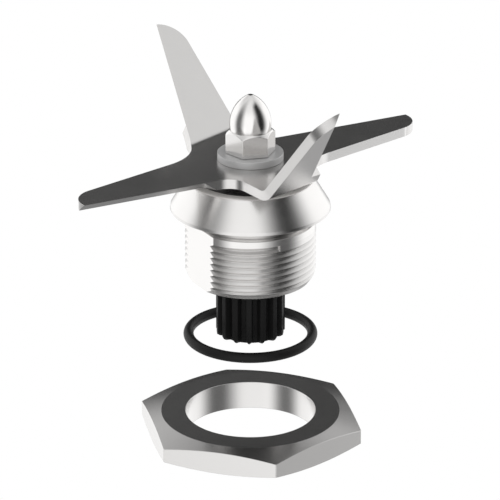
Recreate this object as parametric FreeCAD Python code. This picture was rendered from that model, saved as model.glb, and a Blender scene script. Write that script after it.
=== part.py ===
"""Blender blade assembly: bladed drive unit, O-ring and retaining nut, apart along one axis.

Millimetres. The origin is on the axis, in the plane of the flange's underside. +Z points up along
the shaft, towards the blade. Azimuths are degrees anticlockwise from +X, seen from above.
"""
import FreeCAD, Part
import math
import os

V = FreeCAD.Vector
UP = V(0, 0, 1)
ORIGIN = V(0, 0, 0)

# housing
FLANGE_R = 17.45
FLANGE_LAND = 0.65
CONE_SLOPE = 0.636
RIM_TOP = 6.7
RIM_ROUND = 0.6
MOUTH_R = 11.6
GROOVE_R = 12.7
GROOVE_DEPTH = 2.8
NECK_R = 14.2875
NECK_CHAMFER = 1.19
NECK_CHAMFER_HEIGHT = 1.75
NECK_LIP = 0.85
FLAT_AZIMUTHS = (-151.1, 28.9)
THREAD_PITCH = 25.4 / 18
THREAD_DEPTH = 0.61
THREAD_MOUTH = 1.36
THREAD_ROOT_FLAT = 0.1
THREAD_START = -4.21
THREAD_START_AZIMUTH = -63.5
THREAD_CLEARANCE = 0.02
SHOULDER_WIDTH = 1.7
SHOULDER_THICKNESS = 0.6
CIRCLIP_GROOVE_DEPTH = 0.5
CIRCLIP_GROOVE_WIDTH = 1.0

# rolling bearings, 8 x 22 x 7
SHAFT_R = 4.0
BEARING_R = 11.0
BEARING_WIDTH = 7.0
UPPER_BEARING_TOP = 0.5
BALL_R = 1.984
BALL_COUNT = 7
BALL_PLAY = 0.015
RACE_CURVE = 1.04
INNER_LAND_INSET = 1.45
OUTER_LAND_INSET = 1.4
RACE_CHAMFER = 0.3
SHIELD_SEAT_WALL = 1.4
SHIELD_SEAT_DEPTH = 0.6
SHIELD_THICKNESS = 0.5
SHIELD_GAP = 0.25
CAGE_WALL = 1.2
CAGE_RIM = 0.57
CAGE_CLAW = 0.8
CAGE_PLAY = 0.1
SPACER_HEIGHT = 1.1
SPACER_WALL = 1.5

# preload washer, seal and circlip
PRELOAD_HEIGHT = 0.5
PRELOAD_THICKNESS = 0.25
PRELOAD_MARGIN = 0.1
SEAL_HEIGHT = 3.6
SEAL_COVER = 0.6
CASE_WALL = 1.0
CASE_FLOOR = 0.6
CASE_FLOOR_REACH = 3.2
LIP_PLAY = 0.03
LIP_WALL = 0.9
LIP_SAG = 0.9
LIP_RISE = 0.7
LIP_EDGE = 0.6
LIP_FOLD = 1.2
CIRCLIP_THICKNESS = 0.95
CIRCLIP_WIDTH = 1.75
CIRCLIP_OFFSET = 0.35
CIRCLIP_GAP_ANGLE = 34.0
CIRCLIP_GAP_AZIMUTH = 270.0
CIRCLIP_EAR_R = 1.15
CIRCLIP_EAR_INSET = 2.2
CIRCLIP_HOLE_R = 0.55

# shaft and sleeve
SHAFT_FLAT = 3.3
SLEEVE_WALL = 2.0
SLEEVE_CHAMFER = 0.4
SHAFT_SHORTFALL = 0.2
DOUBLE_D_R = 3.2
DOUBLE_D_FLAT = 2.45
STUD_R = 2.413
STUD_TIP_GAP = 0.87
STUD_CHAMFER = 0.6
THREAD_PLAY = 0.02

# blade
BLADE_TOP = 10.98
BLADE_THICKNESS = 2.1
BLADE_HOLE_PLAY = 0.05
BEVEL_WIDTH = 2.6
EDGE_LAND = 0.08
BEND_INNER_R = 2.2
BEND_SECTIONS = 6
# straight sides: azimuth of the outward normal, distance from the axis
FLAT_LEADING_AZIMUTH = 297.2
FLAT_LEADING_DISTANCE = 8.82
FLAT_TRAILING_AZIMUTH = 132.6
FLAT_TRAILING_DISTANCE = 8.89
FLAT_TIP_R = 6.16
FLAT_TIP_REACH = 43.41
BENT_LEADING_AZIMUTH = 200.68
BENT_LEADING_DISTANCE = 9.04
BENT_TRAILING_AZIMUTH = 35.47
BENT_TRAILING_DISTANCE = 9.35
BENT_TIP_R = 5.6
BENT_TIP_REACH = 47.75
WIDE_ROOT_R = 12.9
TIGHT_ROOT_R = 4.1
# bends: azimuth of the line's normal, distance from the axis, angle in degrees
BACK_BEND_AZIMUTH = 140.48
BACK_BEND_DISTANCE = 15.04
BACK_BEND_ANGLE = 34.96
FRONT_BEND_AZIMUTH = 136.35
FRONT_BEND_DISTANCE = 15.75
FRONT_BEND_ANGLE = 47.03
# run-out of each bevel, along the leading edge: on the edge, then how far back (minus: out) it is
# at the foot of the wall and inside
FLAT_BEVEL_START = 15.4
BENT_BEVEL_START = 17.95
FLAT_BEVEL_FOOT = 2.8
FLAT_BEVEL_INSIDE = 1.2
BENT_BEVEL_FOOT = 0.55
BENT_BEVEL_INSIDE = -1.25
# how far the cut at a bend reaches each way along the bend line
CUT_TRAILING_REACH = 30.0
CUT_LEADING_REACH = 12.0

# washer and acorn nut
WASHER_R = 7.15
WASHER_THICKNESS = 1.59
WASHER_ROUND = 0.12
ACORN_CORNER_R = 5.5
ACORN_CORNER_AZIMUTH = -107.8
ACORN_CORNER_HEIGHT = 4.26
ACORN_SHOULDER_R = 4.55
ACORN_SHOULDER_HEIGHT = 5.13
DOME_CENTRE_R = -2.974
DOME_CENTRE_HEIGHT = 6.33
DOME_R = 7.524
DOME_TIP_R = 0.5
ACORN_DRILL_HEIGHT = 9.6
DRILL_POINT_HEIGHT = 1.3

# drive spline
SPLINE_R = 7.574
TOOTH_DEPTH = 1.524
TOOTH_COUNT = 15
TOOTH_AZIMUTH = -92.4
TOOTH_TIP_HALF = 0.6
TOOTH_ROOT_HALF = 0.66
SPLINE_END = -29.85
SPLINE_FLOOR = 2.85
SPLINE_BOSS_WALL = 1.5
SPLINE_BOSS_HEIGHT = 0.8
POINT_CORNER_RISE = 0.93
POINT_RIDGE_RISE = 0.4
POINT_RIDGE_INSET = 0.62

# O-ring
O_RING_SECTION_R = 1.125
O_RING_STRETCH = 0.2
O_RING_Z = -30.05

# retaining nut
NUT_ACROSS_FLATS = 44.45
NUT_THICKNESS = 6.35
NUT_TOP = -48.615
NUT_PLAY = 0.0825
NUT_FACE_R = 19.81
NUT_CORNER_DROP = 1.635
NUT_CORNER_AZIMUTH = -17.63

# worked out from the sizes above: radii
FLAT_DISTANCE = GROOVE_R
BALL_PITCH_R = (SHAFT_R + BEARING_R) / 2
INNER_LAND_R = BALL_PITCH_R - INNER_LAND_INSET
OUTER_LAND_R = BALL_PITCH_R + OUTER_LAND_INSET
SHIELD_SEAT_R = BEARING_R - SHIELD_SEAT_WALL
SHOULDER_R = BEARING_R - SHOULDER_WIDTH
CIRCLIP_GROOVE_R = BEARING_R + CIRCLIP_GROOVE_DEPTH
SLEEVE_R = SHAFT_R + SLEEVE_WALL
SPLINE_ROOT_R = SPLINE_R - TOOTH_DEPTH
CASE_INNER_R = MOUTH_R - CASE_WALL
O_RING_CENTRE_R = GROOVE_R - O_RING_STRETCH + O_RING_SECTION_R
NUT_BORE_R = NECK_R + NUT_PLAY

# worked out from the sizes above: heights
UPPER_BEARING_END = UPPER_BEARING_TOP - BEARING_WIDTH
LOWER_BEARING_TOP = UPPER_BEARING_END - SPACER_HEIGHT
LOWER_BEARING_END = LOWER_BEARING_TOP - BEARING_WIDTH
CIRCLIP_GROOVE_END = LOWER_BEARING_END - CIRCLIP_GROOVE_WIDTH
NECK_END = CIRCLIP_GROOVE_END - NECK_LIP
SHOULDER_BOTTOM = UPPER_BEARING_TOP + PRELOAD_HEIGHT
SHOULDER_TOP = SHOULDER_BOTTOM + SHOULDER_THICKNESS
SEAL_TOP = SHOULDER_TOP + SEAL_HEIGHT
CASE_TOP = SEAL_TOP - SEAL_COVER
CASE_FLOOR_TOP = SHOULDER_TOP + CASE_FLOOR
BLADE_UNDERSIDE = BLADE_TOP - BLADE_THICKNESS
WASHER_TOP = BLADE_TOP + WASHER_THICKNESS
SHAFT_SHOULDER = BLADE_UNDERSIDE - SHAFT_SHORTFALL
DOUBLE_D_TOP = WASHER_TOP - SHAFT_SHORTFALL
STUD_TOP = WASHER_TOP + ACORN_DRILL_HEIGHT - STUD_TIP_GAP
TOOTH_TOP = LOWER_BEARING_END - SPLINE_BOSS_HEIGHT
SHAFT_END = SPLINE_END + SPLINE_FLOOR

# worked out from the sizes above: blade sides, bends and bevel run-outs
FLAT_SIDES = ((FLAT_LEADING_AZIMUTH, FLAT_LEADING_DISTANCE),
              (FLAT_TRAILING_AZIMUTH, FLAT_TRAILING_DISTANCE))
BENT_SIDES = ((BENT_LEADING_AZIMUTH, BENT_LEADING_DISTANCE),
              (BENT_TRAILING_AZIMUTH, BENT_TRAILING_DISTANCE))
BACK_BEND = (BACK_BEND_AZIMUTH, BACK_BEND_DISTANCE, BACK_BEND_ANGLE)
FRONT_BEND = (FRONT_BEND_AZIMUTH, FRONT_BEND_DISTANCE, FRONT_BEND_ANGLE)
FLAT_RUN_OUT = (FLAT_BEVEL_START, FLAT_BEVEL_FOOT, FLAT_BEVEL_INSIDE)
BENT_RUN_OUT = (BENT_BEVEL_START, BENT_BEVEL_FOOT, BENT_BEVEL_INSIDE)

# reach of cutting blocks, past every piece
LARGE = 2 * FLAT_TIP_REACH


def unit(azimuth):
    """Horizontal unit vector towards an azimuth."""
    angle = math.radians(azimuth)
    return V(math.cos(angle), math.sin(angle), 0)


def turned(shape, azimuth):
    """Copy of a shape, turned about the axis."""
    copy = shape.copy()
    copy.rotate(ORIGIN, UP, azimuth)
    return copy


def raised(shape, height):
    """Copy of a shape, moved along the axis."""
    copy = shape.copy()
    copy.translate(V(0, 0, height))
    return copy


def outline(steps, place):
    """Closed wire through steps: a point, or a pair (point on the arc, arc's end)."""
    edges = []
    last = place(steps[0])
    for step in steps[1:] + steps[:1]:
        if isinstance(step[0], (tuple, V)):
            middle, end = (place(point) for point in step)
            edges.append(Part.Arc(last, middle, end).toShape())
        else:
            end = place(step)
            edges.append(Part.makeLine(last, end))
        last = end
    return Part.Wire(edges)


def turned_solid(*steps):
    """Solid of revolution about the axis from a closed profile of (radius, height) steps."""
    wire = outline(list(steps), lambda point: V(point[0], 0, point[1]))
    return Part.Face(wire).revolve(ORIGIN, UP, 360)


def ring(inner, outer, bottom, top):
    """Plain ring, or a disc where the inner radius is 0."""
    if inner == 0:
        return Part.makeCylinder(outer, top - bottom, V(0, 0, bottom))
    return turned_solid((inner, bottom), (outer, bottom), (outer, top), (inner, top))


def half_space(point, direction):
    """Large block on the side of a plane through point that direction points to."""
    block = Part.makeBox(2 * LARGE, 2 * LARGE, LARGE, V(-LARGE, -LARGE, 0))
    block.Placement = FreeCAD.Placement(point, FreeCAD.Rotation(UP, direction))
    return block


def double_d(radius, flat, bottom, top):
    """Round bar with two flats that face +X and -X."""
    bar = Part.makeCylinder(radius, top - bottom, V(0, 0, bottom))
    for side in (V(1, 0, 0), V(-1, 0, 0)):
        bar = bar.cut(half_space(side * flat, side))
    return bar


def hexagon(corner_radius, corner_azimuth, bottom, top):
    """Hexagonal bar about the axis."""
    corners = [unit(corner_azimuth + 60 * i) * corner_radius + V(0, 0, bottom) for i in range(7)]
    return Part.Face(Part.makePolygon(corners)).extrude(V(0, 0, top - bottom))


def thread_cutter():
    """Thread groove: a V with a narrow flat root, down a right-hand helix from a blunt start."""
    turns = math.ceil((THREAD_START - NECK_END) / THREAD_PITCH) + 1
    widening = THREAD_CLEARANCE * (THREAD_MOUTH - THREAD_ROOT_FLAT) / THREAD_DEPTH
    half_root = THREAD_ROOT_FLAT / 2
    half_mouth = (THREAD_MOUTH + widening) / 2
    profile = outline([
        (NECK_R - THREAD_DEPTH, -half_root), (NECK_R + THREAD_CLEARANCE, -half_mouth),
        (NECK_R + THREAD_DEPTH, -half_mouth), (NECK_R + THREAD_DEPTH, half_mouth),
        (NECK_R + THREAD_CLEARANCE, half_mouth), (NECK_R - THREAD_DEPTH, half_root)],
        lambda point: V(point[0], 0, point[1]))
    helix = Part.makeHelix(THREAD_PITCH, turns * THREAD_PITCH, NECK_R)
    groove = Part.Wire(helix).makePipeShell([profile], True, True)
    foot = THREAD_START - THREAD_MOUTH / 2 - turns * THREAD_PITCH
    return turned(raised(groove, foot), THREAD_START_AZIMUTH)


def bearing_housing():
    """Housing: cone, flange and long neck, threaded, cut to length, chamfered, milled and bored."""
    cone_top_r = FLANGE_R - CONE_SLOPE * (RIM_TOP - FLANGE_LAND)
    lean = math.atan(CONE_SLOPE)
    tangent = RIM_ROUND * math.tan((math.pi / 2 - lean) / 2)
    round_start = (cone_top_r - tangent, RIM_TOP)
    round_end = (cone_top_r + tangent * math.sin(lean), RIM_TOP - tangent * math.cos(lean))
    centre = (round_start[0], RIM_TOP - RIM_ROUND)
    middle_angle = (math.pi / 2 + lean) / 2
    round_middle = (centre[0] + RIM_ROUND * math.cos(middle_angle),
                    centre[1] + RIM_ROUND * math.sin(middle_angle))
    thread = thread_cutter()
    stock_end = thread.BoundBox.ZMin - THREAD_PITCH
    blank = turned_solid(
        (0, RIM_TOP), round_start, (round_middle, round_end),
        (FLANGE_R, FLANGE_LAND), (FLANGE_R, 0), (GROOVE_R, 0), (GROOVE_R, -GROOVE_DEPTH),
        (NECK_R, -GROOVE_DEPTH), (NECK_R, stock_end), (0, stock_end))
    cut_off = turned_solid(
        (0, NECK_END), (NECK_R - NECK_CHAMFER, NECK_END), (NECK_R, NECK_END + NECK_CHAMFER_HEIGHT),
        (FLANGE_R, NECK_END + NECK_CHAMFER_HEIGHT), (FLANGE_R, stock_end - THREAD_PITCH),
        (0, stock_end - THREAD_PITCH))
    body = blank.cut(thread).cut(cut_off)
    neck_zone = Part.makeCylinder(FLANGE_R, LARGE, V(0, 0, -GROOVE_DEPTH - LARGE))
    for azimuth in FLAT_AZIMUTHS:
        facing = unit(azimuth)
        body = body.cut(half_space(facing * FLAT_DISTANCE, facing).common(neck_zone))
    bore = turned_solid(
        (0, stock_end), (BEARING_R, stock_end), (BEARING_R, CIRCLIP_GROOVE_END),
        (CIRCLIP_GROOVE_R, CIRCLIP_GROOVE_END), (CIRCLIP_GROOVE_R, LOWER_BEARING_END),
        (BEARING_R, LOWER_BEARING_END), (BEARING_R, SHOULDER_BOTTOM), (SHOULDER_R, SHOULDER_BOTTOM),
        (SHOULDER_R, SHOULDER_TOP), (MOUTH_R, SHOULDER_TOP), (MOUTH_R, RIM_TOP + RIM_ROUND),
        (0, RIM_TOP + RIM_ROUND))
    return body.cut(bore)


def race_groove(centre_r):
    """Ring with a round section that grinds a ball track, at the ball plane z = 0."""
    return Part.makeTorus(centre_r, BALL_R * RACE_CURVE)


def bearing(name, top):
    """All pieces of one shielded ball bearing whose upper face lies at top."""
    half = BEARING_WIDTH / 2
    seat = half - SHIELD_SEAT_DEPTH
    edge = RACE_CHAMFER
    curve = BALL_R * RACE_CURVE
    inner = turned_solid(
        (SHAFT_R, edge - half), (SHAFT_R + edge, -half), (INNER_LAND_R, -half),
        (INNER_LAND_R, half), (SHAFT_R + edge, half), (SHAFT_R, half - edge))
    inner = inner.cut(race_groove(BALL_PITCH_R - BALL_R - BALL_PLAY + curve))
    outer = turned_solid(
        (OUTER_LAND_R, -seat), (SHIELD_SEAT_R, -seat), (SHIELD_SEAT_R, -half),
        (BEARING_R - edge, -half), (BEARING_R, edge - half), (BEARING_R, half - edge),
        (BEARING_R - edge, half), (SHIELD_SEAT_R, half), (SHIELD_SEAT_R, seat), (OUTER_LAND_R, seat))
    outer = outer.cut(race_groove(BALL_PITCH_R + BALL_R + BALL_PLAY - curve))
    shield = ring(INNER_LAND_R + SHIELD_GAP, SHIELD_SEAT_R, seat, seat + SHIELD_THICKNESS)
    cage = ring(BALL_PITCH_R - CAGE_WALL / 2, BALL_PITCH_R + CAGE_WALL / 2,
                -CAGE_CLAW, BALL_R + CAGE_PLAY + CAGE_RIM)
    pieces = {"outer_race": outer, "inner_race": inner, "upper_shield": shield}
    pieces["lower_shield"] = raised(shield, -2 * seat - SHIELD_THICKNESS)
    for i in range(BALL_COUNT):
        centre = unit(360 / BALL_COUNT * i) * BALL_PITCH_R
        pieces["ball_%d" % (i + 1)] = Part.makeSphere(BALL_R, centre)
        cage = cage.cut(Part.makeSphere(BALL_R + CAGE_PLAY, centre))
    pieces["cage"] = cage
    return {name + "_" + piece: raised(shape, top - half) for piece, shape in pieces.items()}


def preload_washer():
    """Dished spring ring between the housing's shoulder and the upper bearing."""
    low, high = UPPER_BEARING_TOP, SHOULDER_BOTTOM
    inner, outer = SHOULDER_R + PRELOAD_MARGIN, BEARING_R - PRELOAD_MARGIN
    return turned_solid((inner, high - PRELOAD_THICKNESS), (outer, low),
                        (outer, low + PRELOAD_THICKNESS), (inner, high))


def shaft_seal_case():
    """Pressed ring with a wall and an inward floor, in the housing's pocket."""
    floor_r = MOUTH_R - CASE_FLOOR_REACH
    return turned_solid(
        (floor_r, SHOULDER_TOP), (MOUTH_R, SHOULDER_TOP), (MOUTH_R, CASE_TOP),
        (CASE_INNER_R, CASE_TOP), (CASE_INNER_R, CASE_FLOOR_TOP), (floor_r, CASE_FLOOR_TOP))


def shaft_seal_lip():
    """Rubber ring that lines and covers the case, with a web that dips and rises to the sleeve."""
    lip_r = SLEEVE_R + LIP_PLAY
    wall_r = CASE_INNER_R - LIP_WALL
    fold_r = lip_r + LIP_FOLD
    return turned_solid(
        (CASE_INNER_R, CASE_FLOOR_TOP), (CASE_INNER_R, CASE_TOP), (MOUTH_R, CASE_TOP),
        (MOUTH_R, SEAL_TOP), (wall_r, SEAL_TOP), (fold_r, SEAL_TOP - LIP_SAG),
        (lip_r, SEAL_TOP - LIP_SAG + LIP_RISE), (lip_r, SEAL_TOP - LIP_SAG + LIP_RISE - LIP_EDGE),
        (fold_r, SEAL_TOP - LIP_SAG - LIP_WALL), (wall_r, SEAL_TOP - LIP_WALL), (wall_r, CASE_FLOOR_TOP))


def retaining_ring():
    """Internal circlip: a ring that thickens away from its gap, with an ear on each side."""
    ears_r = CIRCLIP_GROOVE_R - CIRCLIP_EAR_INSET
    bottom = LOWER_BEARING_END - CIRCLIP_THICKNESS
    height = CIRCLIP_THICKNESS
    clip = Part.makeCylinder(CIRCLIP_GROOVE_R, height, V(0, 0, bottom))
    inner_r = CIRCLIP_GROOVE_R - CIRCLIP_WIDTH
    clip = clip.cut(Part.makeCylinder(inner_r, height, V(0, -CIRCLIP_OFFSET, bottom)))
    half_gap = CIRCLIP_GAP_ANGLE / 2
    apex = V(0, 0, bottom)
    rays = [apex + unit(CIRCLIP_GAP_AZIMUTH + side * half_gap) * LARGE for side in (-1, 1)]
    clip = clip.cut(Part.Face(Part.makePolygon([apex] + rays + [apex])).extrude(V(0, 0, height)))
    ear_angle = half_gap + math.degrees(CIRCLIP_EAR_R / ears_r)
    for azimuth in (CIRCLIP_GAP_AZIMUTH - ear_angle, CIRCLIP_GAP_AZIMUTH + ear_angle):
        centre = unit(azimuth) * ears_r + V(0, 0, bottom)
        root_centre = unit(azimuth) * (CIRCLIP_GROOVE_R - CIRCLIP_EAR_R) + V(0, 0, bottom)
        root = Part.makeCylinder(CIRCLIP_EAR_R, height, root_centre)
        clip = clip.fuse([Part.makeCylinder(CIRCLIP_EAR_R, height, centre), root])
        clip = clip.cut(Part.makeCylinder(CIRCLIP_HOLE_R, height, centre))
    return clip


def shaft():
    """Round shaft with a flatted lower end, a flatted blade seat and a stud on top."""
    body = Part.makeCylinder(SHAFT_R, SHAFT_SHOULDER - TOOTH_TOP, V(0, 0, TOOTH_TOP))
    lower = double_d(SHAFT_R, SHAFT_FLAT, SHAFT_END, TOOTH_TOP)
    seat = double_d(DOUBLE_D_R, DOUBLE_D_FLAT, SHAFT_SHOULDER, DOUBLE_D_TOP)
    stud = turned_solid((0, DOUBLE_D_TOP), (STUD_R, DOUBLE_D_TOP), (STUD_R, STUD_TOP - STUD_CHAMFER),
                        (STUD_R - STUD_CHAMFER, STUD_TOP), (0, STUD_TOP))
    return body.fuse([lower, seat, stud])


def blade_seat_sleeve():
    """Hard sleeve on the shaft, which the seal runs on and the blade sits on."""
    return turned_solid(
        (SHAFT_R, UPPER_BEARING_TOP), (SLEEVE_R, UPPER_BEARING_TOP),
        (SLEEVE_R, BLADE_UNDERSIDE - SLEEVE_CHAMFER), (SLEEVE_R - SLEEVE_CHAMFER, BLADE_UNDERSIDE),
        (SHAFT_R, BLADE_UNDERSIDE))


class Side:
    """Straight side of a blade arm: outward normal, distance from the axis, way out along it."""

    def __init__(self, line, leading, half_turn=0):
        azimuth, self.distance = line[0] + half_turn, line[1]
        self.normal = unit(azimuth)
        self.along = unit(azimuth - 90 if leading else azimuth + 90)

    def point(self, reach):
        return self.normal * self.distance + self.along * reach

    def crossing(self, other):
        reach = (other.distance - self.distance * self.normal.dot(other.normal))
        return self.point(reach / self.along.dot(other.normal))


def root_blend(leading, trailing, radius):
    """Arc between one arm's leading side and the next arm's trailing side."""
    corner = leading.crossing(trailing)
    outward = (leading.normal + trailing.normal).normalize()
    centre = corner + outward * (radius / outward.dot(leading.normal))
    start = centre - leading.normal * radius
    end = centre - trailing.normal * radius
    return start, centre - outward * radius, end


def tip_arc(leading, trailing, radius, reach):
    """Arc tangent to the trailing side that ends in a sharp corner on the leading side."""
    corner = leading.point(reach)
    offset = corner.dot(trailing.normal) - (trailing.distance - radius)
    centre_reach = corner.dot(trailing.along) - math.sqrt(radius ** 2 - offset ** 2)
    centre = trailing.point(centre_reach) - trailing.normal * radius
    start = trailing.point(centre_reach)
    middle = centre + ((start - centre) + (corner - centre)).normalize() * radius
    return start, middle, corner


def blade_blank():
    """Flat outline of the whole blade as a face at the blade's upper plane."""
    steps = []
    for half_turn in (0, 180):
        flat = [Side(FLAT_SIDES[0], True, half_turn), Side(FLAT_SIDES[1], False, half_turn)]
        bent = [Side(BENT_SIDES[0], True, half_turn), Side(BENT_SIDES[1], False, half_turn)]
        next_bent = Side(BENT_SIDES[1], False, half_turn + 180)
        start, middle, corner = tip_arc(*bent, BENT_TIP_R, BENT_TIP_REACH)
        steps += [start, (middle, corner)]
        start, middle, end = root_blend(bent[0], flat[1], WIDE_ROOT_R)
        steps += [start, (middle, end)]
        start, middle, corner = tip_arc(*flat, FLAT_TIP_R, FLAT_TIP_REACH)
        steps += [start, (middle, corner)]
        start, middle, end = root_blend(flat[0], next_bent, TIGHT_ROOT_R)
        steps += [start, (middle, end)]
    return Part.Face(outline(steps, lambda point: point + V(0, 0, BLADE_TOP)))


def bevel_cutter(side, run_out_sizes):
    """Wedge below the ground bevel of one leading side, with its run-out towards the hub."""
    slope = (BLADE_THICKNESS - EDGE_LAND) / BEVEL_WIDTH
    on_edge, foot_back, inside_back = run_out_sizes

    def place(inward, depth, reach):
        return side.point(reach) - side.normal * inward + V(0, 0, BLADE_TOP - depth)

    def run_out(inward, depth):
        foot_share = depth / BLADE_THICKNESS
        inward_share = inward / BEVEL_WIDTH
        return on_edge - foot_back * foot_share + (foot_back - inside_back) * inward_share

    section = [(-1, EDGE_LAND - slope), (BEVEL_WIDTH + 1 / slope, BLADE_THICKNESS + 1),
               (-1, BLADE_THICKNESS + 1)]
    near = [place(inward, depth, run_out(inward, depth)) for inward, depth in section]
    far = [place(inward, depth, LARGE) for inward, depth in section]
    ends = [Part.makePolygon(points + points[:1]) for points in (near, far)]
    return Part.makeLoft(ends, True, True)


def beyond(bend, distance):
    """Block over the part of a bent arm's blank that lies outside a line parallel to its bend."""
    facing = unit(bend[0])
    across = unit(bend[0] + 90)
    low, high = -CUT_TRAILING_REACH, CUT_LEADING_REACH
    corners = [facing * reach + across * side for reach, side in
               ((distance, low), (LARGE, low), (LARGE, high), (distance, high), (distance, low))]
    return Part.Face(Part.makePolygon(corners)).extrude(V(0, 0, LARGE))


def bent_arm(blank, bend):
    """Curved stretch and raised plate of one bent arm, from the blank's arm."""
    azimuth, distance, rise = bend
    facing = unit(azimuth)
    across = unit(azimuth + 90)
    angle = math.radians(rise)
    setback = BEND_INNER_R * math.tan(angle / 2)
    plate = blank.extrude(V(0, 0, -BLADE_THICKNESS)).common(beyond(bend, distance + setback))
    plate = plate.cut(bevel_cutter(Side(BENT_SIDES[0], True), BENT_RUN_OUT))
    plate.rotate(facing * distance + V(0, 0, BLADE_TOP), facing.cross(UP), rise)
    centre = facing * (distance - setback) + V(0, 0, BLADE_TOP + BEND_INNER_R)
    sections = []
    for i in range(BEND_SECTIONS):
        share = i / (BEND_SECTIONS - 1)
        foot = facing * (distance - setback + 2 * setback * share) + V(0, 0, BLADE_TOP)
        chord = blank.common(Part.makeLine(foot - across * CUT_TRAILING_REACH,
                                           foot + across * CUT_LEADING_REACH))
        sides = sorted(vertex.Point.dot(across) for vertex in chord.Vertexes)
        spoke = facing * math.sin(angle * share) - UP * math.cos(angle * share)
        inner, outer = (centre + spoke * radius for radius in
                        (BEND_INNER_R, BEND_INNER_R + BLADE_THICKNESS))
        corners = [inner + across * sides[0], inner + across * sides[-1],
                   outer + across * sides[-1], outer + across * sides[0]]
        sections.append(Part.makePolygon(corners + corners[:1]))
    return [plate, Part.makeLoft(sections, True, False)]


def blade():
    """One stamping: hub and two flat arms, two arms bent up, four bevels, flatted hub hole."""
    blank = blade_blank()
    body = blank.extrude(V(0, 0, -BLADE_THICKNESS))
    arms = []
    for bend, half_turn in ((BACK_BEND, 0), (FRONT_BEND, 180)):
        setback = BEND_INNER_R * math.tan(math.radians(bend[2] / 2))
        body = body.cut(turned(beyond(bend, bend[1] - setback), half_turn))
        arms += [turned(shape, half_turn) for shape in bent_arm(blank, bend)]
    for half_turn in (0, 180):
        body = body.cut(bevel_cutter(Side(FLAT_SIDES[0], True, half_turn), FLAT_RUN_OUT))
    body = body.fuse(arms).removeSplitter()
    hole = double_d(DOUBLE_D_R + BLADE_HOLE_PLAY, DOUBLE_D_FLAT + BLADE_HOLE_PLAY, 0, LARGE)
    return body.cut(hole)


def blade_washer():
    """Plain washer with lightly rounded outer edges."""
    washer = ring(DOUBLE_D_R + BLADE_HOLE_PLAY, WASHER_R, BLADE_TOP, WASHER_TOP)
    rims = [edge for edge in washer.Edges if edge.BoundBox.XMax > WASHER_R - WASHER_ROUND
            and edge.BoundBox.ZLength < WASHER_ROUND]
    return washer.makeFillet(WASHER_ROUND, rims)


def acorn_nut():
    """Hexagon nut with a chamfered top and a pointed dome, bored blind for the stud."""
    base = WASHER_TOP
    prism = hexagon(ACORN_CORNER_R, ACORN_CORNER_AZIMUTH, base, base + ACORN_SHOULDER_HEIGHT)
    turned_limit = turned_solid(
        (0, base), (ACORN_CORNER_R, base), (ACORN_CORNER_R, base + ACORN_CORNER_HEIGHT),
        (ACORN_SHOULDER_R, base + ACORN_SHOULDER_HEIGHT), (0, base + ACORN_SHOULDER_HEIGHT))

    def dome_point(angle):
        return (DOME_CENTRE_R + DOME_R * math.cos(angle),
                base + DOME_CENTRE_HEIGHT + DOME_R * math.sin(angle))

    start_angle = math.asin((ACORN_SHOULDER_HEIGHT - DOME_CENTRE_HEIGHT) / DOME_R)
    tip_rise = math.sqrt((DOME_R - DOME_TIP_R) ** 2 - DOME_CENTRE_R ** 2)
    tip_centre_height = base + DOME_CENTRE_HEIGHT + tip_rise
    tip_angle = math.acos(-DOME_CENTRE_R / (DOME_R - DOME_TIP_R))
    tip_middle_angle = (tip_angle + math.pi / 2) / 2
    tip_middle = (DOME_TIP_R * math.cos(tip_middle_angle),
                  tip_centre_height + DOME_TIP_R * math.sin(tip_middle_angle))
    dome = turned_solid(
        (0, base + ACORN_SHOULDER_HEIGHT), dome_point(start_angle),
        (dome_point((start_angle + tip_angle) / 2), dome_point(tip_angle)),
        (tip_middle, (0, tip_centre_height + DOME_TIP_R)))
    bore_r = STUD_R + THREAD_PLAY
    drill_top = base + ACORN_DRILL_HEIGHT
    bore = turned_solid((0, base), (bore_r, base), (bore_r, drill_top),
                        (0, drill_top + DRILL_POINT_HEIGHT))
    return prism.common(turned_limit).fuse(dome).cut(bore)


def spline_tooth():
    """One tooth that faces +X, with its lower end ground to a point by two slanted faces."""
    root_r = SPLINE_ROOT_R - TOOTH_DEPTH / 3
    corners = [V(root_r, -TOOTH_ROOT_HALF, SPLINE_END), V(SPLINE_R, -TOOTH_TIP_HALF, SPLINE_END),
               V(SPLINE_R, TOOTH_TIP_HALF, SPLINE_END), V(root_r, TOOTH_ROOT_HALF, SPLINE_END)]
    tooth = Part.Face(Part.makePolygon(corners + corners[:1])).extrude(V(0, 0, TOOTH_TOP - SPLINE_END))
    ridge_end = V(SPLINE_R, 0, SPLINE_END + POINT_RIDGE_RISE)
    ridge_start = V(SPLINE_R - POINT_RIDGE_INSET, 0, SPLINE_END)
    for half in (-TOOTH_TIP_HALF, TOOTH_TIP_HALF):
        corner = V(SPLINE_R, half, SPLINE_END + POINT_CORNER_RISE)
        downward = (corner - ridge_end).cross(ridge_start - ridge_end)
        if downward.z > 0:
            downward = downward * -1
        tooth = tooth.cut(half_space(ridge_end, downward))
    return tooth


def drive_spline():
    """Moulded coupling: boss under the lower bearing and a toothed drive below it."""
    core = ring(0, SPLINE_ROOT_R, SPLINE_END, TOOTH_TOP)
    boss = ring(0, SHAFT_R + SPLINE_BOSS_WALL, TOOTH_TOP, LOWER_BEARING_END)
    tooth = spline_tooth()
    limit = ring(0, SPLINE_R, SPLINE_END, TOOTH_TOP)
    teeth = [turned(tooth, TOOTH_AZIMUTH + 360 / TOOTH_COUNT * i).common(limit)
             for i in range(TOOTH_COUNT)]
    bore = double_d(SHAFT_R, SHAFT_FLAT, SHAFT_END, TOOTH_TOP)
    neck_bore = ring(0, SHAFT_R, TOOTH_TOP, LOWER_BEARING_END)
    return core.fuse(teeth + [boss]).cut(bore).cut(neck_bore).removeSplitter()


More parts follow.
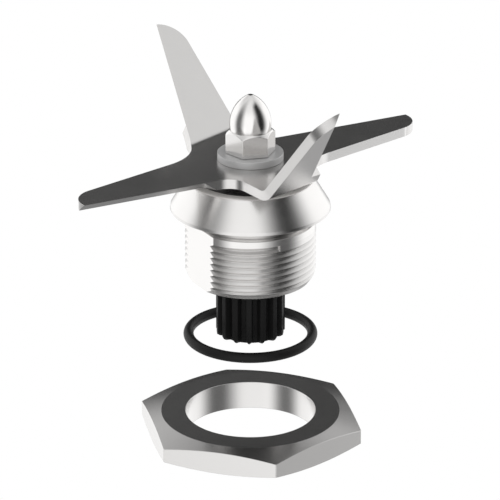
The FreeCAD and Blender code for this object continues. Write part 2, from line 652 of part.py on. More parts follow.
def o_ring():
    """Round-section sealing ring."""
    return Part.makeTorus(O_RING_CENTRE_R, O_RING_SECTION_R, V(0, 0, O_RING_Z))


def retaining_nut():
    """Thin hexagon nut, its corners turned away on both faces."""
    corner_r = NUT_ACROSS_FLATS / math.sqrt(3)
    bottom = NUT_TOP - NUT_THICKNESS
    prism = hexagon(corner_r, NUT_CORNER_AZIMUTH, bottom, NUT_TOP)
    limit = turned_solid(
        (NUT_BORE_R, bottom), (NUT_FACE_R, bottom), (corner_r, bottom + NUT_CORNER_DROP),
        (corner_r, NUT_TOP - NUT_CORNER_DROP), (NUT_FACE_R, NUT_TOP), (NUT_BORE_R, NUT_TOP))
    return prism.common(limit)


def all_pieces():
    """Every piece by its node's name."""
    pieces = {
        "bearing_housing": bearing_housing(),
        "shaft_seal_case": shaft_seal_case(),
        "shaft_seal_lip": shaft_seal_lip(),
        "preload_washer": preload_washer(),
        "retaining_ring": retaining_ring(),
        "inner_spacer": ring(SHAFT_R, SHAFT_R + SPACER_WALL, LOWER_BEARING_TOP, UPPER_BEARING_END),
        "outer_spacer": ring(BEARING_R - SPACER_WALL, BEARING_R, LOWER_BEARING_TOP, UPPER_BEARING_END),
        "shaft": shaft(),
        "blade_seat_sleeve": blade_seat_sleeve(),
        "blade": blade(),
        "blade_washer": blade_washer(),
        "acorn_nut": acorn_nut(),
        "drive_spline": drive_spline(),
        "o_ring": o_ring(),
        "retaining_nut": retaining_nut(),
    }
    pieces.update(bearing("upper_bearing", UPPER_BEARING_TOP))
    pieces.update(bearing("lower_bearing", LOWER_BEARING_TOP))
    return pieces


os.makedirs("parts", exist_ok=True)
for node, shape in all_pieces().items():
    if len(shape.Solids) != 1 or not shape.isValid():
        raise SystemExit("%s is not one valid solid" % node)
    shape.Solids[0].exportStep("parts/%s.step" % node)
    print("%-28s %9.2f mm3" % (node, shape.Volume))
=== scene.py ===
"""Blender blade assembly, dressed: fine meshes, steel, black plastic and rubber, soft studio light."""
import math

import bmesh
import bpy
import numpy as np
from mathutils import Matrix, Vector


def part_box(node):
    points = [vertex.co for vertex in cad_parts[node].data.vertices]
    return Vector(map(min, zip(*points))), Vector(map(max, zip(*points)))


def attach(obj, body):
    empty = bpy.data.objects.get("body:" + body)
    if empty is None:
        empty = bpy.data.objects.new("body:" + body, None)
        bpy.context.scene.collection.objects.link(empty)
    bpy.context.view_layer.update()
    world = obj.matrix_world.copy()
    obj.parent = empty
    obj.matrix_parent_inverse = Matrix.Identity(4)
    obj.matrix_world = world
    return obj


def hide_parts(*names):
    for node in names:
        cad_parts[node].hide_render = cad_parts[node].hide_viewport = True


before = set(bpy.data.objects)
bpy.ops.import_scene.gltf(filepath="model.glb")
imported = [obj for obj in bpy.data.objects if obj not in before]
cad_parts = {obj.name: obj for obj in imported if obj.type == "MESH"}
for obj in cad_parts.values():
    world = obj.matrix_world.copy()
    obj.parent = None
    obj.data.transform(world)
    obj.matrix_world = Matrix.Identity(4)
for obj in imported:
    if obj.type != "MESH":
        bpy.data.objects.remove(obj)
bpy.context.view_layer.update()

MM = 0.001
UP = np.array([0.0, 0.0, 1.0])
# half a corner's angle in radians, past which it isn't rounded, and two distances in metres
NEARLY_STRAIGHT = 1.55
WELD = 2e-7
SLIVER = 1e-8


def node_box(node):
    """A CAD node's lowest and highest corner in millimetres, as arrays."""
    return [np.array(corner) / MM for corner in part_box(node)]


# sizes read from the frame, in millimetres
HOUSING_LOW, HOUSING_HIGH = node_box("bearing_housing")
FLANGE_R = HOUSING_HIGH[0]
RIM_TOP = HOUSING_HIGH[2]
NECK_END = HOUSING_LOW[2]
BLADE_TOP = node_box("blade_washer")[0][2]
BLADE_UNDERSIDE = node_box("blade")[0][2]
BLADE_THICKNESS = BLADE_TOP - BLADE_UNDERSIDE
WASHER_R = node_box("blade_washer")[1][0]
WASHER_TOP = node_box("blade_washer")[1][2]
SLEEVE_LOW, SLEEVE_HIGH = node_box("blade_seat_sleeve")
SLEEVE_R = SLEEVE_HIGH[0]
SEAL_LOW, SEAL_HIGH = node_box("shaft_seal_lip")
MOUTH_R = SEAL_HIGH[0]
SPLINE_LOW, SPLINE_HIGH = node_box("drive_spline")
O_RING_LOW, O_RING_HIGH = node_box("o_ring")
NUT_LOW, NUT_HIGH = node_box("retaining_nut")

# housing, as in the construction, in millimetres
CONE_TOP_R = 13.6
CONE_FOOT = (17.34, 0.45)
RIM_ROUND = 0.6
GROOVE_R = 12.7
GROOVE_DEPTH = 2.8
NECK_R = 14.2875
NECK_CHAMFER = 1.19
NECK_CHAMFER_HEIGHT = 1.75
FLAT_AZIMUTHS = (-151.1, 28.9)
SHOULDER_R = 9.3
SHOULDER_BOTTOM = 1.0
SHOULDER_TOP = 1.6
BEARING_R = 11.0
CIRCLIP_GROOVE_R = 11.5
CIRCLIP_GROOVE_TOP = -14.6
CIRCLIP_GROOVE_END = -15.6
EDGE_ROUND = 0.08
FLANGE_EDGE_ROUND = 0.025
FLANGE_UNDERSIDE = -0.2

# neck thread: 18 turns to the inch
THREAD_PITCH = 25.4 / 18
THREAD_DEPTH = 0.61
THREAD_MOUTH = 1.4
THREAD_ROOT_FLAT = 0.1
THREAD_START_AZIMUTH = -63.5
THREAD_START_Z = -4.21
FLAT_DISTANCE = GROOVE_R
FLAT_TURNS = [(THREAD_START_AZIMUTH - azimuth) % 360 for azimuth in FLAT_AZIMUTHS]
FLAT_HALF_GUESS = 25.0
THREAD_ROWS = (7, 2, 7)
HOUSING_COLUMNS = (20, 18, 42, 18, 22)

# smaller pieces, as in the construction, in millimetres and degrees
SHAFT_R = 4.0
HUB_HOLE_R = 3.25
SEAL_CASE_WALL = 1.0
SEAL_COVER = 0.6
SEAL_ROUND = 0.18
LIP_WALL = 0.9
LIP_PLAY = 0.03
LIP_FOLD = 1.2
LIP_SAG = 0.9
LIP_RISE = 0.7
LIP_EDGE = 0.6
SLEEVE_CHAMFER = 0.4
WASHER_ROUND = 0.12

# acorn nut, heights from the washer's top
ACORN_CORNER_R = 5.5
ACORN_CORNER_AZIMUTH = -107.8
ACORN_CORNER_HEIGHT = 4.26
ACORN_SHOULDER_R = 4.55
ACORN_SHOULDER_HEIGHT = 5.13
ACORN_BORE_R = 2.43
ACORN_DRILL_HEIGHT = 9.6
DRILL_POINT_HEIGHT = 1.3
ACORN_FACE_R = 4.45
ACORN_FOOT_INSET = 0.3
ACORN_FOOT_RISE = 0.12
DOME_CENTRE_R = -2.974
DOME_CENTRE_HEIGHT = 6.33
DOME_R = 7.524
DOME_TIP_R = 0.52
ACORN_EDGE_EASE = 0.05
FINE_EASE = 0.04

# coupling, its gaps deeper than the construction's and flared at the end
SPLINE_R = 7.574
SPLINE_ROOT_R = 6.05
SPLINE_BOSS_R = 5.5
SPLINE_TOP = -15.4
END_FACE_R = 5.0
TOOTH_COUNT = 15
TOOTH_AZIMUTH = -92.4
TOOTH_TIP_HALF = 0.6
TOOTH_ROOT_HALF = 0.66
TOOTH_EASE = 0.07
TOOTH_FILLET = 0.12
ROOT_OVERLAP = 0.01
RIDGE_RISE = 0.4
RIDGE_INSET = 0.62
CORNER_RISE = 0.93
GAP_FLARE = 0.34
FLARE_HEIGHT = 1.0
FLARE_FOOT = 0.14

# retaining nut
NUT_ACROSS_FLATS = 44.45
NUT_CORNER_AZIMUTH = -17.63
NUT_CORNER_DROP = 1.635
NUT_BORE_R = 14.37
NUT_FACE_R = 19.81


def unit(azimuth):
    """Horizontal unit vector towards an azimuth in degrees."""
    angle = np.radians(azimuth)
    return np.array([np.cos(angle), np.sin(angle), 0.0])


def unit_ring(azimuths):
    """Horizontal unit vectors towards many azimuths."""
    angles = np.radians(azimuths)
    return np.stack([np.cos(angles), np.sin(angles), 0 * angles], axis=-1)


def rounded(points, radius, steps=3):
    """Open profile with each inner corner replaced by an arc.

    The arc touches both sides at radius * tan(half the turn) from the corner, cut back to a third
    of the shorter side, and is swept in equal angles about the centre on the corner's bisector.
    """
    points = [np.array(point, float) for point in points]
    profile = [points[0]]
    for before, corner, after in zip(points, points[1:], points[2:]):
        to_before = before - corner
        to_after = after - corner
        near, far = np.linalg.norm(to_before), np.linalg.norm(to_after)
        to_before, to_after = to_before / near, to_after / far
        half = math.acos(max(-1, min(1, float(to_before @ to_after)))) / 2
        if half > NEARLY_STRAIGHT:
            profile.append(corner)
            continue
        setback = min(radius / math.tan(half), near / 3, far / 3)
        bisector = (to_before + to_after) / np.linalg.norm(to_before + to_after)
        centre = corner + bisector * setback / math.cos(half)
        start = corner + to_before * setback - centre
        turn = math.pi - 2 * half
        side = np.array([-start[1], start[0]])
        if side @ (to_after - to_before) < 0:
            side = -side
        for i in range(steps + 1):
            angle = turn * i / steps
            profile.append(centre + start * math.cos(angle) + side * math.sin(angle))
    profile.append(points[-1])
    return np.array(profile)


def around(profile, azimuths):
    """Surface of revolution: (r cos a, r sin a, z) over profile rows and azimuth columns."""
    radius, height = np.asarray(profile, float).T
    turn = np.radians(azimuths)
    grid = np.empty((len(radius), len(turn), 3))
    grid[..., 0] = radius[:, None] * np.cos(turn)
    grid[..., 1] = radius[:, None] * np.sin(turn)
    grid[..., 2] = height[:, None]
    return grid


def polar(radius, height, azimuths):
    """Surface from arrays of radius and height over rows and azimuth columns."""
    turn = np.radians(azimuths)
    return np.stack([radius * np.cos(turn), radius * np.sin(turn), height + 0 * radius], axis=-1)


def full_turn(step=3.0):
    """Azimuths of one full turn, both ends included."""
    return np.linspace(0, 360, int(round(360 / step)) + 1)


def piece(name, patches, polygons=(), sharp_angle=28.0):
    """Mesh object from grids of points in millimetres, welded, with faces pointing outwards."""
    points, faces, first = [], [], 0
    for grid in patches:
        rows, columns = grid.shape[:2]
        index = first + np.arange(rows * columns).reshape(rows, columns)
        quads = np.stack([index[:-1, :-1], index[:-1, 1:], index[1:, 1:], index[1:, :-1]], axis=-1)
        faces += quads.reshape(-1, 4).tolist()
        points.append(grid.reshape(-1, 3))
        first += rows * columns
    for ring in polygons:
        faces.append(list(range(first, first + len(ring))))
        points.append(np.asarray(ring))
        first += len(ring)
    mesh = bpy.data.meshes.new(name)
    mesh.from_pydata((np.concatenate(points) * MM).tolist(), [], faces)
    shape = bmesh.new()
    shape.from_mesh(mesh)
    bmesh.ops.remove_doubles(shape, verts=shape.verts, dist=WELD)
    bmesh.ops.dissolve_degenerate(shape, edges=shape.edges, dist=SLIVER)
    loose = [vertex for vertex in shape.verts if not vertex.link_faces]
    bmesh.ops.delete(shape, geom=loose, context="VERTS")
    bmesh.ops.recalc_face_normals(shape, faces=shape.faces)
    if shape.calc_volume(signed=True) < 0:
        bmesh.ops.reverse_faces(shape, faces=shape.faces)
    shape.to_mesh(mesh)
    shape.free()
    mesh.shade_smooth()
    mesh.set_sharp_from_angle(angle=math.radians(sharp_angle))
    made = bpy.data.objects.new(name, mesh)
    bpy.context.scene.collection.objects.link(made)
    return made


def settle(made, body, node, finish):
    """Rides a piece on its body in place of a CAD node, with its material."""
    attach(made, body)
    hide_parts(node)
    made.data.materials.append(finish)
    return made


def lathe(name, profile, sharp_angle=28.0, step=3.0):
    """Closed profile turned about the axis."""
    closed = np.vstack([profile, profile[:1]])
    return piece(name, [around(closed, full_turn(step))], sharp_angle=sharp_angle)


def neck_radius(height, depth):
    """Radius of the neck off its flats: the less of the thread's and the end chamfer's."""
    chamfer = NECK_R - NECK_CHAMFER + (height - NECK_END) * NECK_CHAMFER / NECK_CHAMFER_HEIGHT
    return np.minimum(NECK_R - depth, chamfer)


def neck_height(clockwise, below):
    """Height of a row that sinks one pitch a turn, no lower than the end of the neck."""
    return np.maximum(THREAD_START_Z - THREAD_PITCH * clockwise / 360 - below, NECK_END)


def neck_columns(below, depth):
    """Clockwise angles of the columns of each row, evenly spread between the edges of the flats.

    A flat's edge lies at its middle plus or minus acos(flat's distance / radius), where the radius
    is the row's own at that edge, found by repeating the step from a first guess.
    """
    knots = np.zeros((len(below), 6))
    knots[:, 5] = 360
    for i, middle in enumerate(FLAT_TURNS):
        for j, way in enumerate((-1, 1)):
            half = np.full(len(below), FLAT_HALF_GUESS)
            for _ in range(8):
                height = neck_height(middle + way * half, below)
                half = np.degrees(np.arccos(FLAT_DISTANCE / neck_radius(height, depth)))
            knots[:, 1 + 2 * i + j] = middle + way * half
    spans = [knots[:, i, None] + (knots[:, i + 1] - knots[:, i])[:, None] * np.linspace(0, 1, count + 1)
             for i, count in enumerate(HOUSING_COLUMNS)]
    return np.hstack([spans[0]] + [span[:, 1:] for span in spans[1:]])


def flat_limit(clockwise):
    """Radius at which the two flats cut off each column: flat's distance / cos(angle off it)."""
    limit = np.full(np.shape(clockwise), np.inf)
    for middle in FLAT_TURNS:
        off = (clockwise - middle + 180) % 360 - 180
        cut_off = FLAT_DISTANCE / np.cos(np.radians(off))
        limit = np.where(np.abs(off) < 60, np.minimum(limit, cut_off), limit)
    return limit


def make_housing():
    """Housing as rows of radius over azimuth, the neck's rows sinking one pitch a turn.

    The upper profile is turned. On the neck the radius is the least of the thread's V, the end
    chamfer and the flats, and each row ends where the row one pitch lower begins.
    """
    clockwise = neck_columns(np.zeros(1), np.zeros(1))[0]
    azimuths = THREAD_START_AZIMUTH - clockwise
    rim = (CONE_TOP_R - 1.0, RIM_TOP)
    bore = rounded([(BEARING_R, NECK_END), (BEARING_R, CIRCLIP_GROOVE_END),
                    (CIRCLIP_GROOVE_R, CIRCLIP_GROOVE_END), (CIRCLIP_GROOVE_R, CIRCLIP_GROOVE_TOP),
                    (BEARING_R, CIRCLIP_GROOVE_TOP), (BEARING_R, SHOULDER_BOTTOM),
                    (SHOULDER_R, SHOULDER_BOTTOM), (SHOULDER_R, SHOULDER_TOP),
                    (MOUTH_R, SHOULDER_TOP), (MOUTH_R, RIM_TOP), rim], EDGE_ROUND)
    cone = rounded([rim, (CONE_TOP_R, RIM_TOP), CONE_FOOT], RIM_ROUND, steps=8)
    edge = rounded([CONE_FOOT, (FLANGE_R, FLANGE_UNDERSIDE), (GROOVE_R, FLANGE_UNDERSIDE)],
                   FLANGE_EDGE_ROUND)
    groove = rounded([(FLANGE_R, FLANGE_UNDERSIDE), (GROOVE_R, FLANGE_UNDERSIDE),
                      (GROOVE_R, -GROOVE_DEPTH)], EDGE_ROUND)
    upper = np.vstack([bore[:-1], cone[:-1], edge[:-1], groove[1:]])
    patches = [around(upper, azimuths)]
    wall = np.minimum(NECK_R, flat_limit(clockwise))
    ledge_r = np.stack([np.full_like(wall, GROOVE_R), wall - EDGE_ROUND, wall])
    ledge_r[1] = np.maximum(ledge_r[1], GROOVE_R)
    ledge_z = np.array([[0.0], [0.0], [-EDGE_ROUND]]) - GROOVE_DEPTH
    patches.append(polar(ledge_r, ledge_z, azimuths))
    first_row = neck_height(clockwise, 0)
    band_z = np.stack([np.full_like(first_row, -GROOVE_DEPTH - EDGE_ROUND),
                       np.full_like(first_row, THREAD_START_Z), first_row])
    patches.append(polar(np.stack([wall] * 3), band_z, azimuths))

    flank = (THREAD_MOUTH - THREAD_ROOT_FLAT) / 2
    corners = [0, flank, flank + THREAD_ROOT_FLAT, THREAD_MOUTH]
    one_turn = np.concatenate([np.linspace(corners[i], corners[i + 1], count + 1)[:-1]
                               for i, count in enumerate(THREAD_ROWS)] + [[THREAD_MOUTH]])
    turns = int(math.ceil((THREAD_START_Z - NECK_END) / THREAD_PITCH)) + 1
    below = np.concatenate([one_turn + THREAD_PITCH * turn for turn in range(turns)])
    depth = np.tile(np.interp(one_turn, corners, [0, THREAD_DEPTH, THREAD_DEPTH, 0]), turns)
    turned = neck_columns(below, depth)
    height = neck_height(turned, below[:, None])
    radius = np.minimum(neck_radius(height, depth[:, None]), flat_limit(turned))
    neck = polar(radius, height, THREAD_START_AZIMUTH - turned)
    patches.append(neck)
    patches.append(np.stack([neck[-1], around([(BEARING_R, NECK_END)], azimuths)[0]]))
    return piece("housing_threaded", patches, [neck[:len(one_turn) + 1, 0]], sharp_angle=19.0)


def rounded_ring(points, radius):
    """Closed profile with every corner rounded, from the middle of its last side round to there."""
    middle = (np.array(points[-1], float) + np.array(points[0], float)) / 2
    return rounded([middle, *points, middle], radius)[:-1]


def make_seal_lip():
    """Rubber seal: the construction's profile with every corner rolled."""
    bottom, top = SEAL_LOW[2], SEAL_HIGH[2]
    case = MOUTH_R - SEAL_CASE_WALL
    wall = case - LIP_WALL
    lip = SLEEVE_R + LIP_PLAY
    fold = lip + LIP_FOLD
    crest = top - LIP_SAG + LIP_RISE
    profile = rounded_ring([(case, top - SEAL_COVER), (MOUTH_R, top - SEAL_COVER), (MOUTH_R, top),
                            (wall, top), (fold, top - LIP_SAG), (lip, crest), (lip, crest - LIP_EDGE),
                            (fold, top - LIP_SAG - LIP_WALL), (wall, top - LIP_WALL), (wall, bottom),
                            (case, bottom)], SEAL_ROUND)
    return lathe("seal_lip_moulded", profile, sharp_angle=60)


def make_sleeve():
    """Hard sleeve under the blade, its upper edge chamfered and broken."""
    low, high = SLEEVE_LOW[2], SLEEVE_HIGH[2]
    profile = rounded_ring([(SHAFT_R, high), (SLEEVE_R - SLEEVE_CHAMFER, high),
                            (SLEEVE_R, high - SLEEVE_CHAMFER), (SLEEVE_R, low),
                            (SHAFT_R, low)], EDGE_ROUND)
    return lathe("sleeve_ground", profile)


def make_washer():
    """Plain washer with rolled edges."""
    profile = rounded_ring([(HUB_HOLE_R, WASHER_TOP), (WASHER_R, WASHER_TOP), (WASHER_R, BLADE_TOP),
                            (HUB_HOLE_R, BLADE_TOP)], WASHER_ROUND)
    return lathe("washer_rolled", profile)


def make_o_ring():
    """Torus: tube radius * cos(t) added to the centre radius, tube radius * sin(t) in height."""
    tube = (O_RING_HIGH[2] - O_RING_LOW[2]) / 2
    centre = O_RING_HIGH[0] - tube
    turn = np.radians(np.linspace(0, 360, 33))
    profile = np.column_stack([centre + tube * np.cos(turn),
                               O_RING_HIGH[2] - tube + tube * np.sin(turn)])
    return piece("o_ring_moulded", [around(profile, full_turn(2.0))], sharp_angle=180)


def hex_azimuths(corner_azimuth, beside):
    """Azimuths of one turn from a corner, with extra ones close to both sides of every corner."""
    close = [60 * corner + way * angle for corner in range(7) for angle in beside for way in (-1, 1)]
    within = [angle for angle in close if 0 < angle < 360]
    return corner_azimuth + np.unique(np.concatenate([full_turn(2.0), within]))


def hex_radius(corner_radius, corner_azimuth, azimuths, edge):
    """Hexagon's radius by azimuth: apothem / cos(angle from the flat), with the corners eased."""
    offset = (azimuths - corner_azimuth + 30) % 60 - 30
    apothem = corner_radius * math.cos(math.radians(30))
    to_flat = 30 - np.abs(offset)
    eased = np.where(np.abs(offset) < edge, 30 - edge, to_flat)
    return apothem / np.cos(np.radians(eased))


def ringed(name, rows, azimuths, sharp_angle):
    """Piece from rows of radius and height, each one number or a number for every azimuth."""
    radius, height = (np.stack([np.broadcast_to(row[i], azimuths.shape) for row in rows])
                      for i in (0, 1))
    return piece(name, [polar(radius, height, azimuths)], sharp_angle=sharp_angle)


def make_acorn():
    """Acorn nut: hexagon, cone that trims its corners, and a dome that comes to a small flat tip.

    Rows over azimuth columns. Where the cone meets a flat its height follows from the flat's radius.
    The dome's radius is arc radius * cos(t) plus the arc centre's radius.
    """
    corner_z, shoulder_z = WASHER_TOP + ACORN_CORNER_HEIGHT, WASHER_TOP + ACORN_SHOULDER_HEIGHT
    centre_z, drill_z = WASHER_TOP + DOME_CENTRE_HEIGHT, WASHER_TOP + ACORN_DRILL_HEIGHT
    azimuths = hex_azimuths(ACORN_CORNER_AZIMUTH, (0.45, 0.9))
    hexagon = hex_radius(ACORN_CORNER_R, ACORN_CORNER_AZIMUTH, azimuths, edge=0.35)
    slope = (shoulder_z - corner_z) / (ACORN_CORNER_R - ACORN_SHOULDER_R)
    foot_z = WASHER_TOP + ACORN_FOOT_RISE
    wall_top = corner_z + (ACORN_CORNER_R - hexagon) * slope - ACORN_EDGE_EASE
    rows = [(0, drill_z + DRILL_POINT_HEIGHT), (ACORN_BORE_R, drill_z), (ACORN_BORE_R, WASHER_TOP),
            (ACORN_FACE_R, WASHER_TOP), (hexagon - ACORN_FOOT_INSET, WASHER_TOP), (hexagon, foot_z)]
    rows += [(hexagon, foot_z + (wall_top - foot_z) * share) for share in np.linspace(0.1, 1, 4)]
    for share in np.linspace(0, 1, 5):
        cone_r = (hexagon - FINE_EASE) * (1 - share) + ACORN_SHOULDER_R * share
        rows.append((cone_r, corner_z + (ACORN_CORNER_R - cone_r) * slope))
    start = math.asin((shoulder_z - centre_z) / DOME_R)
    end = math.acos((DOME_TIP_R - DOME_CENTRE_R) / DOME_R)
    rows.append((DOME_CENTRE_R + DOME_R * math.cos(start) + FINE_EASE / 2, shoulder_z))
    rows += [(DOME_CENTRE_R + DOME_R * math.cos(angle), centre_z + DOME_R * math.sin(angle))
             for angle in np.linspace(start, end, 40)]
    tip_z = centre_z + DOME_R * math.sin(end) + FINE_EASE / 4
    rows += [(DOME_TIP_R - FINE_EASE, tip_z), (0, tip_z)]
    return ringed("acorn_nut_polished", rows, azimuths, sharp_angle=24)


def make_retaining_nut():
    """Hexagon nut: rows of radius over azimuth, the chamfer a cone that the hexagon's radius cuts."""
    corner_r = NUT_ACROSS_FLATS / math.sqrt(3)
    azimuths = hex_azimuths(NUT_CORNER_AZIMUTH, (0.3,))
    hexagon = hex_radius(corner_r, NUT_CORNER_AZIMUTH, azimuths, edge=0.29)
    slope = NUT_CORNER_DROP / (corner_r - NUT_FACE_R)
    half = [(NUT_BORE_R, -1.5 * EDGE_ROUND), (NUT_BORE_R + 0.5 * EDGE_ROUND, -0.5 * EDGE_ROUND),
            (NUT_BORE_R + 1.5 * EDGE_ROUND, 0), (NUT_FACE_R, 0)]
    for share in (0.02, 0.35, 0.7, 1):
        out = (hexagon - EDGE_ROUND - NUT_FACE_R) * share
        half.append((NUT_FACE_R + out, -out * slope))
    half.append((hexagon, -(hexagon - NUT_FACE_R) * slope - 0.7 * EDGE_ROUND))
    upper = [(radius, NUT_HIGH[2] + drop) for radius, drop in half]
    lower = [(radius, NUT_LOW[2] - drop) for radius, drop in half[::-1]]
    return ringed("retaining_nut_faced", upper + lower + upper[:1], azimuths, sharp_angle=14)


def make_spline():
    """Toothed drive: nine columns a tooth, and rows where the pointed end's two planes cut them.

    A plane's height is ridge rise + (x - outer radius) * ridge slope + |y| * side slope, with x
    out along the tooth and y across it. The gaps between the teeth flare out over their last stretch.
    """
    end, boss_top = SPLINE_LOW[2], SPLINE_HIGH[2]
    half_y = np.array([TOOTH_ROOT_HALF + TOOTH_FILLET, TOOTH_ROOT_HALF, TOOTH_TIP_HALF,
                       TOOTH_TIP_HALF - TOOTH_EASE])
    half_x = np.array([SPLINE_ROOT_R - ROOT_OVERLAP, SPLINE_ROOT_R + TOOTH_FILLET, SPLINE_R - TOOTH_EASE,
                       math.sqrt(SPLINE_R ** 2 - (TOOTH_TIP_HALF - TOOTH_EASE) ** 2)])
    y_tooth = np.concatenate([-half_y, [0], half_y[::-1]])
    x_tooth = np.concatenate([half_x, [SPLINE_R], half_x[::-1]])
    in_gap = np.array([1, 1, 0, 0, 0, 0, 0, 1, 1])
    plane = (end + RIDGE_RISE + (x_tooth - SPLINE_R) * RIDGE_RISE / RIDGE_INSET
             + np.abs(y_tooth) * (CORNER_RISE - RIDGE_RISE) / TOOTH_TIP_HALF)
    inner_x = np.minimum(x_tooth, np.where(y_tooth == 0, SPLINE_R - RIDGE_INSET, SPLINE_ROOT_R))
    azimuths = TOOTH_AZIMUTH + 360 / TOOTH_COUNT * np.arange(TOOTH_COUNT + 1)
    spokes, sideways = unit_ring(azimuths)[:, None], unit_ring(azimuths + 90)[:, None]

    def ring(x_columns):
        """Horizontal points of every tooth's columns."""
        return (spokes * x_columns[:, None] + sideways * y_tooth[:, None]).reshape(-1, 3)

    outline, deep, inner = ring(x_tooth), ring(x_tooth - in_gap * GAP_FLARE), ring(inner_x)
    bottom = np.tile(np.maximum(plane, end), TOOTH_COUNT + 1)
    inwards = deep / np.linalg.norm(deep, axis=1)[:, None]
    end_face = inner / np.linalg.norm(inner, axis=1)[:, None]
    flare_z = end + FLARE_HEIGHT
    rows = [(inwards * 0, boss_top), (inwards * SPLINE_BOSS_R, boss_top),
            (inwards * SPLINE_BOSS_R, SPLINE_TOP), (inwards * (SPLINE_ROOT_R - GAP_FLARE), SPLINE_TOP),
            (deep, SPLINE_TOP)]
    rows += [(deep, SPLINE_TOP + (flare_z - SPLINE_TOP) * share) for share in (0.33, 0.66, 1.0)]
    rows += [(outline, np.maximum(bottom, end + FLARE_FOOT)), (outline, bottom), (inner, end),
             (end_face * END_FACE_R, end), (end_face * 0, end)]
    grid = np.stack([points + UP * np.broadcast_to(height, bottom.shape)[:, None]
                     for points, height in rows])
    return piece("drive_spline_moulded", [grid], sharp_angle=18)


# blade, as in the construction, in millimetres and degrees. A side has its normal's azimuth and its
# distance, a tip its radius and reach, a bend its azimuth, distance and angle, and a run-out its reach
# on the edge, how far back its foot starts and how far back its inner corner lies
BEVEL_WIDTH = 2.6
EDGE_LAND = 0.08
BEND_INNER_R = 2.2
FLAT_LEADING = (297.2, 8.82)
FLAT_TRAILING = (132.6, 8.89)
FLAT_TIP = (6.16, 43.41)
BENT_LEADING = (200.68, 9.04)
BENT_TRAILING = (35.47, 9.35)
BENT_TIP = (5.6, 47.75)
WIDE_ROOT_R = 12.9
TIGHT_ROOT_R = 4.1
BACK_BEND = (140.48, 15.04, 34.96)
FRONT_BEND = (136.35, 15.75, 47.03)
FLAT_RUN_OUT = (15.4, 2.8, 1.2)
BENT_RUN_OUT = (17.95, 0.55, -1.25)
BEND_MARGIN = 0.5
BEND_RULED = 3.2
RUN_OUT_EASE = 4.0
ARM_ROWS = (14, 1, 24, 50, 23)


class Side:
    """Straight side of an arm: outward normal, distance from the axis, way out along it."""

    def __init__(self, line, leading, half_turn=0):
        self.normal = unit(line[0] + half_turn)[:2]
        self.distance = line[1]
        self.along = unit(line[0] + half_turn + (-90 if leading else 90))[:2]

    def point(self, reach):
        """Point of the side at a way out along it."""
        return self.normal * self.distance + self.along * reach

    def reach_of(self, point):
        """Way out along the side at which a point lies."""
        return float(point @ self.along)

    def crossing(self, other):
        """Point at which two sides' lines cross."""
        gap = other.distance - self.distance * float(self.normal @ other.normal)
        return self.point(gap / float(self.along @ other.normal))


def swept(centre, start, end, count):
    """Points on the shorter arc about a centre from start to end, in equal angles."""
    first = math.atan2(*(start - centre)[::-1])
    turn = (math.atan2(*(end - centre)[::-1]) - first + math.pi) % (2 * math.pi) - math.pi
    angles = first + turn * np.linspace(0, 1, count)
    return centre + np.linalg.norm(start - centre) * np.column_stack([np.cos(angles), np.sin(angles)])


def root_blend(leading, trailing, radius, count=60):
    """Arc between a leading side and the next arm's trailing side, from the first to the second."""
    corner = leading.crossing(trailing)
    outward = leading.normal + trailing.normal
    outward = outward / np.linalg.norm(outward)
    centre = corner + outward * (radius / float(outward @ leading.normal))
    return swept(centre, centre - leading.normal * radius, centre - trailing.normal * radius, count)


def tip_arc(leading, trailing, radius, reach, count=48):
    """Arc tangent to the trailing side, from there to the sharp corner on the leading side."""
    corner = leading.point(reach)
    offset = float(corner @ trailing.normal) - (trailing.distance - radius)
    centre_reach = trailing.reach_of(corner) - math.sqrt(radius ** 2 - offset ** 2)
    centre = trailing.point(centre_reach) - trailing.normal * radius
    return swept(centre, trailing.point(centre_reach), corner, count)


def along_curve(curve, shares):
    """Points at shares of a polyline's length."""
    steps = np.linalg.norm(np.diff(curve, axis=0), axis=1)
    length = np.concatenate([[0], np.cumsum(steps)])
    return np.column_stack([np.interp(shares * length[-1], length, curve[:, i]) for i in (0, 1)])


def setback_of(bend):
    """Half length of a bend's curved stretch on the bend's inside: R tan(half the angle)."""
    return BEND_INNER_R * math.tan(math.radians(bend[2]) / 2)


def fold(flat, depth, bend):
    """Blank points and depths below the upper plane, folded up about a bend, in millimetres.

    With s the distance past the bend line: inside the curved stretch of half length L = R tan(b/2)
    a point turns about the axis R above the plane by b (s + L) / 2L, and beyond it by b.
    """
    height = BLADE_TOP - depth
    if bend is None:
        return np.stack([flat[..., 0], flat[..., 1], height + 0 * flat[..., 0]], axis=-1)
    azimuth, distance, rise = bend
    facing, across = unit(azimuth)[:2], unit(azimuth + 90)[:2]
    angle = math.radians(rise)
    setback = setback_of(bend)
    past = flat @ facing - distance
    side = flat @ across
    turn = angle * np.clip((past + setback) / (2 * setback), 0, 1)
    spoke = BEND_INNER_R + depth
    beyond = np.maximum(past - setback, 0)
    before = np.minimum(past + setback, 0)
    out = distance - setback + before + spoke * np.sin(turn) + beyond * np.cos(turn)
    up = BLADE_TOP + BEND_INNER_R - spoke * np.cos(turn) + beyond * np.sin(turn)
    plan = out[..., None] * facing + side[..., None] * across
    return np.concatenate([plan, up[..., None]], axis=-1)


def bevel_depth(flat, leading, run_out):
    """Depth of the underside below the upper plane: the sheet's thickness, less where ground.

    The ground plane drops by its slope with the distance in from the leading side. Its run-out
    plane rises towards the hub, and the deeper of the two holds.
    """
    on_edge, foot_back, inside_back = run_out
    inward = leading.distance - flat @ leading.normal
    reach = flat @ leading.along
    slope = (BLADE_THICKNESS - EDGE_LAND) / BEVEL_WIDTH
    ground = EDGE_LAND + slope * inward
    back = on_edge - reach + (foot_back - inside_back) * inward / BEVEL_WIDTH
    end = BLADE_THICKNESS * back / foot_back
    return np.minimum(BLADE_THICKNESS, np.maximum(ground, end))


